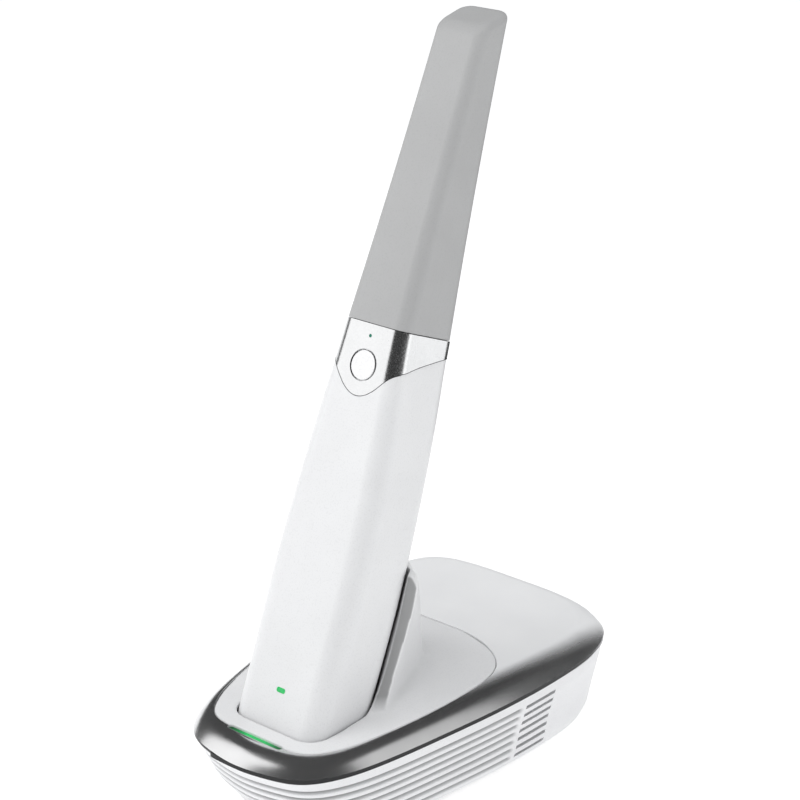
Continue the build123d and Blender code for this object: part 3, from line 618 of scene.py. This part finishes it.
def make_tip():
    """The detachable tip: a tapering sleeve with a rounded, slanted end."""
    rings = [tip_ring(share) for share in TIP_SHARES]
    rings[0] = rings[0] * (TIP_MOUTH_WIDTH, 1, 1)
    for step in range(1, ROUNDING_STEPS + 1):
        turn = math.radians(90 * step / ROUNDING_STEPS)
        inward, drop = TIP_ROUNDING * (1 - math.cos(turn)), TIP_ROUNDING * (1 - math.sin(turn))
        rings.append(tip_ring(1.0, 1 - inward / END_HALF, drop))
    for scale in END_SCALES:
        rings.append(tip_ring(1.0, scale * (1 - TIP_ROUNDING / END_HALF), 0.0))
    count = 4 * HAND_COUNT
    last = (len(rings) - 1) * count
    faces = ring_faces(len(rings), count) + [tuple(range(last, last + count))]
    tip = make_object("tip_sleeve_skin", to_row(np.concatenate(rings)), faces)
    applied(tip, "SOLIDIFY", thickness=TIP_WALL * MM, offset=-1.0, use_even_offset=True)
    half_x, half_z = WINDOW_SIZE[0] / 2, WINDOW_SIZE[1] / 2
    centre, axes = (0, WINDOW_START_Y, WINDOW_Z), ((1, 0, 0), (0, 0, 1), (0, 1, 0))
    points, quads = rounded_prism(centre, half_x, half_z, WINDOW_ROUNDING, axes, (0, 20))
    cut_away(tip, make_object("window_cutter", to_row(points), quads))
    smooth(tip, 40)
    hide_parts("tip_sleeve")
    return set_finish(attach(tip, "tip"), "tip_grey")


# ---------------------------------------------------------------- wand: band gasket
BAND_MIDDLE = (0, 17, 150.0)       # a point on the wand's own axis at the band
BAND_ROUNDS = 6                    # rounds until the line's height fits the handle's width there


def section_loop(values, count):
    """Evenly spaced points round one section."""
    corners = section_points(values)
    closed = np.vstack([corners, corners[:1]])
    return along_line(closed, np.linspace(0, arc_lengths(closed)[-1], count, endpoint=False))


def band_line():
    """The lower edge of the metal band, as points on the handle's surface in the wand's own frame."""
    rows = np.array(HANDLE_STATIONS)
    front_x, front_z = np.array(BAND_FRONT).T
    front_x = np.concatenate([-front_x[:0:-1], front_x])
    front_z = np.concatenate([front_z[:0:-1], front_z])
    side_y, side_z = np.array(BAND_SIDE).T
    heights = np.full(GASKET_COUNT, BAND_MIDDLE[2])
    for _ in range(BAND_ROUNDS):
        values = cubic(rows[:, 0], rows[:, 1:], heights)
        loop = np.array([section_loop(row, GASKET_COUNT)[i] for i, row in enumerate(values)])
        on_front = cubic(front_x, front_z, np.clip(loop[:, 0], front_x[0], front_x[-1]))
        on_side = cubic(side_y, side_z, loop[:, 1])
        heights = np.where(loop[:, 1] < BAND_FACE_DEPTH, np.minimum(on_front, on_side), on_side)
    return np.column_stack([loop, heights])


def make_gasket():
    """Thin dark seal in the joint between the metal band and the handle."""
    path = to_row(band_line())
    following = np.roll(path, -1, axis=0) - np.roll(path, 1, axis=0)
    following /= np.linalg.norm(following, axis=1)[:, None]
    outward = path - to_row(BAND_MIDDLE)
    outward -= (outward * following).sum(axis=1)[:, None] * following
    outward /= np.linalg.norm(outward, axis=1)[:, None]
    across = np.cross(following, outward)
    rings = []
    for side in range(GASKET_SIDES):
        turn = 2 * math.pi * side / GASKET_SIDES
        round_it = math.cos(turn) * outward + math.sin(turn) * across
        rings.append(path - GASKET_SINK * outward + GASKET_RADIUS * round_it)
    faces = ring_faces(GASKET_SIDES, GASKET_COUNT, True)
    gasket = make_object("band_gasket", np.concatenate(rings), faces)
    smooth(gasket, 80)
    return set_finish(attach(gasket, "handpiece"), "dark_trim")


# ---------------------------------------------------------------- materials
class Graph:
    """A small helper round one material's node tree."""

    def __init__(self, name):
        self.material = bpy.data.materials.new(name)
        self.material.use_nodes = True
        self.nodes = self.material.node_tree.nodes
        self.links = self.material.node_tree.links
        self.shader = self.nodes["Principled BSDF"]
        self.place = self.nodes.new("ShaderNodeTexCoord").outputs["Object"]

    def noise(self, per_mm, detail=2.0, stretch=(1, 1, 1), distortion=0.0):
        mapping = self.nodes.new("ShaderNodeMapping")
        mapping.inputs["Scale"].default_value = stretch
        self.links.new(self.place, mapping.inputs["Vector"])
        node = self.nodes.new("ShaderNodeTexNoise")
        node.inputs["Scale"].default_value = per_mm / MM
        node.inputs["Detail"].default_value = detail
        node.inputs["Distortion"].default_value = distortion
        self.links.new(mapping.outputs["Vector"], node.inputs["Vector"])
        return node.outputs["Fac"]

    def ramp(self, source, *stops):
        node = self.nodes.new("ShaderNodeValToRGB")
        node.color_ramp.interpolation = "LINEAR"
        while len(node.color_ramp.elements) < len(stops):
            node.color_ramp.elements.new(0.5)
        for element, (position, colour) in zip(node.color_ramp.elements, stops):
            element.position = position
            element.color = (*colour, 1.0) if len(colour) == 3 else colour
        self.links.new(source, node.inputs["Fac"])
        return node.outputs["Color"]

    def spread(self, source, low, high, from_low=0.3, from_high=0.7):
        node = self.nodes.new("ShaderNodeMapRange")
        node.inputs["From Min"].default_value = from_low
        node.inputs["From Max"].default_value = from_high
        node.inputs["To Min"].default_value = low
        node.inputs["To Max"].default_value = high
        self.links.new(source, node.inputs["Value"])
        return node.outputs["Result"]

    def mix(self, factor, a, b):
        node = self.nodes.new("ShaderNodeMix")
        node.data_type = "RGBA"
        for socket, value in ((node.inputs[0], factor), (node.inputs[6], a), (node.inputs[7], b)):
            if isinstance(value, bpy.types.NodeSocket):
                self.links.new(value, socket)
            else:
                socket.default_value = value if isinstance(value, float) else (*value, 1.0)
        return node.outputs[2]

    def maths(self, operation, a, b):
        node = self.nodes.new("ShaderNodeMath")
        node.operation = operation
        for socket, value in zip(node.inputs, (a, b)):
            if isinstance(value, bpy.types.NodeSocket):
                self.links.new(value, socket)
            else:
                socket.default_value = value
        return node.outputs[0]

    def bump(self, height, distance, strength=1.0, after=None):
        node = self.nodes.new("ShaderNodeBump")
        node.inputs["Distance"].default_value = distance * MM
        node.inputs["Strength"].default_value = strength
        self.links.new(height, node.inputs["Height"])
        if after is not None:
            self.links.new(after, node.inputs["Normal"])
        return node.outputs["Normal"]

    def set(self, **values):
        """Sets or links sockets of the shader, by name with _ for a space."""
        for name, value in values.items():
            socket = self.shader.inputs[name.replace("_", " ")]
            if isinstance(value, bpy.types.NodeSocket):
                self.links.new(value, socket)
            else:
                is_colour = isinstance(value, tuple) and len(value) == 3
                socket.default_value = (*value, 1.0) if is_colour else value
        return self


def shade(colour, factor):
    """The colour made darker or lighter, held below white."""
    return tuple(min(c * factor, 1.0) for c in colour)


def plastic(name, colour, roughness, grain, grain_per_mm, coat=0.0, wear=0.05, mottle=0.025, painted_shade=None):
    """Moulded plastic: spark-eroded grain, faint mottling, handled patches and rubbed edges.

    Where given, the last argument is the share that the piece's "shade" attribute darkens the colour to, as
    painted shade.
    """
    graph = Graph(name)
    clouds = graph.noise(0.035, 3.0)
    body = graph.ramp(clouds, (0.3, shade(colour, 1 - mottle)), (0.7, shade(colour, 1 + mottle)))
    specks = graph.ramp(graph.noise(1.7, 1.0), (0.32, (1 - mottle * 2,) * 3), (0.45, (1.0,) * 3))
    multiply = graph.nodes.new("ShaderNodeMix")
    multiply.data_type, multiply.blend_type = "RGBA", "MULTIPLY"
    multiply.inputs[0].default_value = 1.0
    graph.links.new(body, multiply.inputs[6])
    graph.links.new(specks, multiply.inputs[7])
    edge = graph.nodes.new("ShaderNodeNewGeometry").outputs["Pointiness"]
    rubbed = graph.spread(edge, 0.0, wear, 0.53, 0.6)
    colour_out = graph.mix(rubbed, multiply.outputs[2], shade(colour, 1.25))
    # painted shade: where the "shade" attribute is set, the colour darkens to the given share
    if painted_shade is not None:
        mark = graph.nodes.new("ShaderNodeAttribute")
        mark.attribute_name = "shade"
        colour_out = graph.mix(mark.outputs["Fac"], colour_out, shade(colour, painted_shade))
    handled = graph.noise(0.09, 4.0, distortion=0.4)
    rough = graph.spread(handled, roughness - 0.05, roughness + 0.06)
    normal = graph.bump(graph.noise(grain_per_mm, 3.0), grain)
    waves = graph.bump(graph.noise(0.05, 1.0), 0.06, 0.6, after=normal)
    graph.set(Base_Color=colour_out, Roughness=rough, Normal=waves, Coat_Weight=coat)
    return graph.material


def metal(name, colour, roughness, brush, brush_per_mm, depth, tarnish=0.06):
    """Metal or plating: fine scratches, rougher along them, and slight cloudy tarnish."""
    graph = Graph(name)
    clouds = graph.noise(0.06, 4.0)
    body = graph.ramp(clouds, (0.3, shade(colour, 1 - tarnish)), (0.7, colour))
    scratches = graph.noise(brush_per_mm, 6.0, stretch=brush)
    rough = graph.spread(scratches, roughness * 0.75, roughness * 1.35)
    normal = graph.bump(scratches, depth)
    graph.set(Base_Color=body, Metallic=1.0, Roughness=rough, Normal=normal)
    return graph.material


def board_material(name):
    """Green solder mask over copper tracks, with bare pads."""
    graph = Graph(name)
    tracks = graph.nodes.new("ShaderNodeTexVoronoi")
    tracks.distance = "MANHATTAN"
    tracks.inputs["Scale"].default_value = 0.35 / MM
    graph.links.new(graph.place, tracks.inputs["Vector"])
    mask = graph.ramp(tracks.outputs["Distance"], (0.42, (0.012, 0.17, 0.07)), (0.5, (0.01, 0.1, 0.045)))
    pads = graph.ramp(graph.noise(0.9, 0.0), (0.68, (0.0,) * 3), (0.71, (1.0,) * 3))
    colour = graph.mix(pads, mask, (0.72, 0.6, 0.3))
    rough = graph.spread(graph.noise(0.5, 2.0), 0.28, 0.42)
    normal = graph.bump(tracks.outputs["Distance"], 0.03)
    graph.set(Base_Color=colour, Roughness=rough, Normal=normal, Coat_Weight=0.4)
    return graph.material


# The plating fades out between two shares of the shoulder's width, sooner towards the rear.
RIM_FADE_Y = [-89, -60, 10, 60, 80]
RIM_FADE_START = [1.2, 1.0, 0.6, 0.1, -0.2]
RIM_FADE_END = [2.0, 1.9, 1.5, 0.85, 0.25]


def cover_material():
    """Plated rim that fades into satin white over the top and towards the rear."""
    graph = Graph("cover_finish")
    rim = graph.nodes.new("ShaderNodeAttribute")
    rim.attribute_name = "rim"
    mask = rim.outputs["Fac"]
    white = graph.ramp(graph.noise(0.035, 3.0), (0.3, (0.86, 0.86, 0.865)), (0.7, (0.90, 0.90, 0.903)))
    plated = graph.ramp(graph.noise(0.07, 4.0), (0.3, (0.72, 0.72, 0.725)), (0.7, (0.79, 0.79, 0.795)))
    grain = graph.noise(2.6, 3.0)
    rough_white = graph.spread(graph.noise(0.09, 4.0), 0.36, 0.48)
    rough_plated = graph.spread(graph.noise(0.05, 2.0), 0.21, 0.25)
    rough = graph.maths("ADD", graph.maths("MULTIPLY", rough_plated, mask),
                        graph.maths("MULTIPLY", rough_white, graph.maths("SUBTRACT", 1.0, mask)))
    graph.set(
        Base_Color=graph.mix(mask, white, plated), Metallic=graph.maths("MULTIPLY", mask, 0.96),
        Roughness=rough, Normal=graph.bump(grain, 0.0008),
    )
    return graph.material


def paint_rim(cover):
    """Stores how plated each vertex of the cover is."""
    points = vertices_of(cover)
    share = inset_of(points[:, :2]) / COVER_SHOULDER
    fade_start = np.interp(points[:, 1], RIM_FADE_Y, RIM_FADE_START)
    fade_end = np.interp(points[:, 1], RIM_FADE_Y, RIM_FADE_END)
    mask = np.clip((fade_end - share) / (fade_end - fade_start), 0, 1)
    store(cover, "rim", mask * mask * (3 - 2 * mask))


def light_material(name, colour, core, strength, half_length):
    """A lit light guide: bright core, darker towards its ends."""
    graph = Graph(name)
    split = graph.nodes.new("ShaderNodeSeparateXYZ")
    graph.links.new(graph.place, split.inputs["Vector"])
    distance = graph.maths("ABSOLUTE", split.outputs["X"], 0.0)
    along = graph.spread(distance, 1.0, 0.12, half_length * 0.35 * MM, half_length * MM)
    cells = graph.spread(graph.noise(0.8, 2.0), 0.85, 1.1)
    power = graph.maths("MULTIPLY", graph.maths("MULTIPLY", along, cells), strength)
    glow = graph.mix(along, colour, core)
    graph.set(Base_Color=shade(colour, 0.5), Roughness=graph.spread(graph.noise(0.6, 2.0), 0.25, 0.4),
              Emission_Color=glow, Emission_Strength=power, Normal=graph.bump(graph.noise(2.0, 2.0), 0.01))
    return graph.material


def glass_material(name):
    """Coated optical glass with a faint tint."""
    graph = Graph(name)
    tint = graph.ramp(graph.noise(0.1, 2.0), (0.3, (0.86, 0.95, 0.93)), (0.7, (0.95, 0.9, 0.98)))
    rough = graph.spread(graph.noise(0.4, 3.0), 0.0, 0.04)
    normal = graph.bump(graph.noise(0.3, 1.0), 0.002)
    graph.set(Base_Color=tint, Roughness=rough, Normal=normal)
    graph.set(Transmission_Weight=1.0, IOR=1.5, Coat_Weight=0.5)
    return graph.material


def trim_with_painted_shade_material():
    """Glossy dark trim line, its near black partly its own colour and partly painted shade of the seam gap,
    and painted paler towards the rear, where the rim fades out.
    """
    graph = Graph("dark_trim_painted_shade_finish")
    split = graph.nodes.new("ShaderNodeSeparateXYZ")
    graph.links.new(graph.place, split.inputs["Vector"])
    # painted shade of the seam: near black at the front, fading to grey towards the rear
    rear = graph.spread(split.outputs["Y"], 0.0, 1.0, 62 * MM, 86 * MM)
    dark = graph.ramp(graph.noise(0.06, 3.0), (0.3, (0.016, 0.016, 0.017)), (0.7, (0.026, 0.026, 0.027)))
    rough = graph.spread(graph.noise(0.2, 4.0), 0.15, 0.26)
    normal = graph.bump(graph.noise(1.5, 3.0), 0.004)
    colour = graph.mix(rear, dark, (0.5, 0.5, 0.51))
    graph.set(Base_Color=colour, Specular_IOR_Level=0.25, Roughness=rough, Normal=normal)
    return graph.material


ALONG_WAND = (1, 1, 0.15)
FINISH = {
    # casing: painted shade in the grooves of the ribbing, through its "shade" attribute
    "casing_white": plastic("casing_finish_painted_shade", (0.80, 0.80, 0.81), 0.42, 0.016, 2.4, painted_shade=0.5),
    # dark trim: near black partly painted shade of the seam gap, paler towards the rear
    "dark_trim": trim_with_painted_shade_material(),
    "cover_chrome": cover_material(),
    # insert: painted shade on the hood's slanting front edge, through its "shade" attribute
    "insert_white": plastic("insert_finish_painted_shade", (0.82, 0.82, 0.825), 0.36, 0.008, 3.0, painted_shade=0.42),
    "handle_white": plastic("handle_finish", (0.81, 0.81, 0.815), 0.34, 0.006, 3.2, coat=0.12, wear=0.02),
    "tip_grey": plastic("tip_finish", (0.45, 0.45, 0.45), 0.45, 0.014, 3.4, wear=0.06),
    "band_chrome": metal("band_finish", (0.80, 0.805, 0.81), 0.22, ALONG_WAND, 4.0, 0.0001),
    "button_satin": metal("button_finish", (0.86, 0.86, 0.87), 0.22, (1, 1, 1), 1.6, 0.002),
    "green_light": light_material("green_light_finish", (0.0, 0.10, 0.025), (0.03, 0.55, 0.14), 0.9, 13.0),
    "status_green": light_material("status_finish", (0.0, 0.2, 0.12), (0.01, 0.2, 0.12), 0.5, 9.0),
    "black_plastic": plastic(
        "black_plastic_finish", (0.028, 0.028, 0.03), 0.42, 0.02, 2.0, wear=0.2, mottle=0.12),
    "rubber": plastic("rubber_finish", (0.045, 0.045, 0.047), 0.75, 0.05, 1.6, wear=0.1, mottle=0.15),
    "steel": metal("steel_finish", (0.6, 0.6, 0.62), 0.28, (1, 5, 1), 0.7, 0.01, 0.12),
    "aluminium": metal("aluminium_finish", (0.72, 0.73, 0.75), 0.38, (1, 1, 1), 2.2, 0.02, 0.08),
    "copper_film": metal("copper_finish", (0.78, 0.42, 0.24), 0.25, (1, 1, 1), 0.8, 0.006, 0.2),
    "gold": metal("gold_finish", (0.9, 0.66, 0.25), 0.16, (1, 1, 1), 1.5, 0.004, 0.1),
    "circuit_board": board_material("circuit_board_finish"),
    "glass": glass_material("glass_finish"),
    "mirror": metal("mirror_finish", (0.93, 0.94, 0.95), 0.02, (1, 1, 1), 0.5, 0.0003, 0.03),
    "battery_wrap": plastic(
        "battery_wrap_finish", (0.05, 0.16, 0.42), 0.25, 0.01, 1.0, coat=0.3, mottle=0.08),
}


def dress(obj, slot):
    """Gives a piece the finish of a slot in place of any it has."""
    obj.data.materials.clear()
    obj.data.materials.append(FINISH[slot])


def dress_cad_nodes():
    """Every CAD node gets the finish of its material slot."""
    for part in frame["record"]["subparts"]:
        dress(NODES[part["node"]], part["material_slot"])


# ---------------------------------------------------------------- studio
def aim(obj, target):
    direction = Vector(target) - obj.location
    obj.rotation_euler = direction.to_track_quat("-Z", "Y").to_euler()


LIGHT_TARGET = (0, 0.02, 0.13)
FLOOR_SIZE = 14.0
FLOOR_STEPS = 24
FLOOR_Z = -0.02                # in millimetres, just under the feet
CAMERA_LENS = 99.0
CAMERA_PLACE = (0.47936, -0.58200, 0.46309)     # in metres
CAMERA_TILT = 22.41            # degrees downwards
CAMERA_TURN = 39.16            # degrees to the right of straight in front


def softbox(name, azimuth, elevation, distance, size, power):
    """A rectangular softbox; azimuth 0 stands in front of the dock, 90 on its right."""
    data = bpy.data.lights.new(name, "AREA")
    data.shape = "RECTANGLE"
    data.size, data.size_y = size
    data.energy = power
    obj = bpy.data.objects.new(name, data)
    turn, lift = math.radians(azimuth), math.radians(elevation)
    reach = Vector((math.sin(turn) * math.cos(lift), -math.cos(turn) * math.cos(lift), math.sin(lift)))
    obj.location = Vector(LIGHT_TARGET) + reach * distance
    bpy.context.scene.collection.objects.link(obj)
    aim(obj, LIGHT_TARGET)
    return obj


def dark_flag(name, azimuth, distance, width, height):
    """A black card behind the dock, seen only in reflections."""
    turn = math.radians(azimuth)
    centre = np.array([math.sin(turn), -math.cos(turn), 0.0]) * distance / MM
    across = np.array([math.cos(turn), math.sin(turn), 0.0]) * width / 2 / MM
    up = np.array([0, 0, height / MM])
    corners = [centre - across, centre + across, centre + across + up, centre - across + up]
    flag = make_object(name, corners, [(0, 1, 2, 3)])
    graph = Graph(name + "_finish")
    graph.set(Base_Color=graph.ramp(graph.noise(0.01), (0.3, (0.02,) * 3), (0.7, (0.03,) * 3)), Roughness=0.9)
    flag.data.materials.append(graph.material)
    flag.visible_camera = flag.visible_diffuse = flag.visible_shadow = flag.visible_transmission = False


def build_floor():
    """A plain white floor, glowing a little so that it stays close to the white room behind it."""
    line = np.linspace(-FLOOR_SIZE / 2, FLOOR_SIZE / 2, FLOOR_STEPS + 1) / MM
    vertices = [(x, y, FLOOR_Z) for y in line for x in line]
    faces = []
    for row in range(FLOOR_STEPS):
        for column in range(FLOOR_STEPS):
            a = row * (FLOOR_STEPS + 1) + column
            faces.append((a, a + 1, a + FLOOR_STEPS + 2, a + FLOOR_STEPS + 1))
    floor = make_object("studio_floor", vertices, faces)
    graph = Graph("floor_finish")
    tone = graph.ramp(graph.noise(0.004, 2.0), (0.3, (0.7, 0.7, 0.7)), (0.7, (0.73, 0.73, 0.73)))
    graph.set(Base_Color=tone, Roughness=graph.spread(graph.noise(0.02, 2.0), 0.6, 0.7),
              Emission_Color=(1.0, 1.0, 1.0), Emission_Strength=0.55)
    floor.data.materials.append(graph.material)


def build_world(camera_level, soft_level, gloss_level):
    """White to the camera; an even room for light, and a dark one in reflections."""
    world = bpy.data.worlds.new("studio_world")
    bpy.context.scene.world = world
    world.use_nodes = True
    nodes, links = world.node_tree.nodes, world.node_tree.links
    seen = nodes["Background"]
    seen.inputs["Color"].default_value = (1, 1, 1, 1)
    seen.inputs["Strength"].default_value = camera_level
    room = nodes.new("ShaderNodeBackground")
    room.inputs["Color"].default_value = (0.97, 0.985, 1.0, 1)
    room.inputs["Strength"].default_value = soft_level
    dark = nodes.new("ShaderNodeBackground")
    dark.inputs["Color"].default_value = (1, 1, 1, 1)
    dark.inputs["Strength"].default_value = gloss_level
    path = nodes.new("ShaderNodeLightPath")
    gloss = nodes.new("ShaderNodeMixShader")
    links.new(path.outputs["Is Glossy Ray"], gloss.inputs["Fac"])
    links.new(room.outputs["Background"], gloss.inputs[1])
    links.new(dark.outputs["Background"], gloss.inputs[2])
    mix = nodes.new("ShaderNodeMixShader")
    links.new(path.outputs["Is Camera Ray"], mix.inputs["Fac"])
    links.new(gloss.outputs["Shader"], mix.inputs[1])
    links.new(seen.outputs["Background"], mix.inputs[2])
    links.new(mix.outputs["Shader"], nodes["World Output"].inputs["Surface"])


def build_camera():
    """Looks from the front right, a little above."""
    data = bpy.data.cameras.new("camera")
    data.lens, data.sensor_width = CAMERA_LENS, 36.0
    data.clip_start, data.clip_end = 0.05, 50.0
    camera = bpy.data.objects.new("camera", data)
    camera.location = CAMERA_PLACE
    camera.rotation_euler = (math.radians(90 - CAMERA_TILT), 0, math.radians(CAMERA_TURN))
    bpy.context.scene.collection.objects.link(camera)
    bpy.context.scene.camera = camera


cover = make_cover()
paint_rim(cover)
casing = make_casing()
insert = make_insert()
tip = make_tip()
gasket = make_gasket()
for piece in (cover, casing, insert, tip, gasket):
    dress(piece, piece["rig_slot"])
dress_cad_nodes()

build_floor()
dark_flag("flag_right", azimuth=182, distance=0.30, width=0.28, height=0.6)
build_world(camera_level=1.0, soft_level=0.64, gloss_level=0.04)
softbox("key_left", azimuth=-45, elevation=24, distance=1.3, size=(1.0, 1.3), power=4.9)
softbox("side_right", azimuth=108, elevation=12, distance=1.3, size=(0.6, 1.2), power=1.5)
overhead = softbox("overhead", azimuth=-20, elevation=84, distance=1.5, size=(0.9, 0.9), power=6.5)
overhead.visible_glossy = False
build_camera()
bpy.context.scene.view_settings.view_transform = "Standard"
